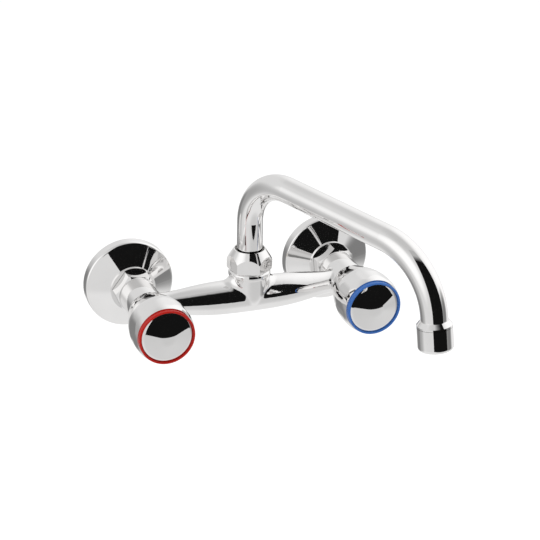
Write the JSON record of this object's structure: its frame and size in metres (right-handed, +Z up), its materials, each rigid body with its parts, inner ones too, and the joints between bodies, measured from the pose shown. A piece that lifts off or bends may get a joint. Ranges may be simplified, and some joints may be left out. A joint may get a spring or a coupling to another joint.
{
  "type": "wall-mounted mixer tap",
  "caption": "Chromed wall-mounted mixer tap: flared turning knobs on a slim bridge body, conical wall covers, hexagonal union nuts and a swinging tubular spout.",
  "frame": {"origin": "on the finished wall's surface, midway between the two valve axes", "axes": "+X along the wall to the cold side, +Y into the wall, +Z up; the room is at -Y"},
  "size_m": [0.214, 0.2258, 0.1294],
  "materials": {
    "body_chrome": "polished",
    "cover_chrome": "polished",
    "nut_chrome": "polished",
    "spout_chrome": "polished",
    "outlet_chrome": "polished",
    "knob_chrome": "polished",
    "cap_chrome": "polished",
    "raw_brass": "machined",
    "black_rubber": "matt",
    "fibre_seal": "matt",
    "white_plastic": "satin",
    "grey_plastic": "satin",
    "steel": "bright",
    "red_plastic": "gloss",
    "blue_plastic": "gloss"
  },
  "bodies": {
    "tap_body": {"mixer_body": "body_chrome", "hot_s_union": "raw_brass", "hot_escutcheon": "cover_chrome", "hot_union_nut": "nut_chrome", "hot_union_gasket": "fibre_seal", "hot_inlet_tail": "raw_brass", "hot_tail_oring": "black_rubber", "hot_bonnet": "raw_brass", "hot_bonnet_seal": "fibre_seal", "cold_s_union": "raw_brass", "cold_escutcheon": "cover_chrome", "cold_union_nut": "nut_chrome", "cold_union_gasket": "fibre_seal", "cold_inlet_tail": "raw_brass", "cold_tail_oring": "black_rubber", "cold_bonnet": "raw_brass", "cold_bonnet_seal": "fibre_seal", "spout_nut": "nut_chrome", "spout_slide_ring": "white_plastic"},
    "spout": {"spout_tube": "spout_chrome", "spout_ferrule": "raw_brass", "spout_orings": "black_rubber", "spout_nozzle": "outlet_chrome", "aerator_collar": "outlet_chrome", "aerator_insert": "grey_plastic", "aerator_gasket": "black_rubber"},
    "hot_handle": {"hot_spindle": "raw_brass", "hot_spindle_orings": "black_rubber", "hot_circlip": "steel", "hot_knob": "knob_chrome", "hot_knob_screw": "steel", "hot_index_ring": "red_plastic", "hot_index_cap": "cap_chrome"},
    "hot_valve": {"hot_plunger": "raw_brass", "hot_valve_washer": "black_rubber", "hot_washer_nut": "raw_brass"},
    "cold_handle": {"cold_spindle": "raw_brass", "cold_spindle_orings": "black_rubber", "cold_circlip": "steel", "cold_knob": "knob_chrome", "cold_knob_screw": "steel", "cold_index_ring": "blue_plastic", "cold_index_cap": "cap_chrome"},
    "cold_valve": {"cold_plunger": "raw_brass", "cold_valve_washer": "black_rubber", "cold_washer_nut": "raw_brass"}
  },
  "joints": [
    {"name": "hot_knob_turn", "type": "hinge", "parent": "tap_body", "child": "hot_handle", "pos_m": [-0.075, -0.07, 0], "axis": [0, -1, 0], "range_deg": [0, 900]},
    {"name": "hot_valve_lift", "type": "slide", "parent": "tap_body", "child": "hot_valve", "axis": [0, -1, 0], "range_m": [0, 0.003]},
    {"name": "cold_knob_turn", "type": "hinge", "parent": "tap_body", "child": "cold_handle", "pos_m": [0.075, -0.07, 0], "axis": [0, -1, 0], "range_deg": [0, 900]},
    {"name": "cold_valve_lift", "type": "slide", "parent": "tap_body", "child": "cold_valve", "axis": [0, -1, 0], "range_m": [0, 0.003]},
    {"name": "spout_swing", "type": "hinge", "parent": "tap_body", "child": "spout", "pos_m": [0, -0.049, 0.028], "axis": [0, 0, 1], "range_deg": [-126, 74]}
  ],
  "couplings": [
    {"joint": "hot_valve_lift", "follows": "hot_knob_turn", "m_per_rad": 0.00019098},
    {"joint": "cold_valve_lift", "follows": "cold_knob_turn", "m_per_rad": 0.00019098}
  ]
}
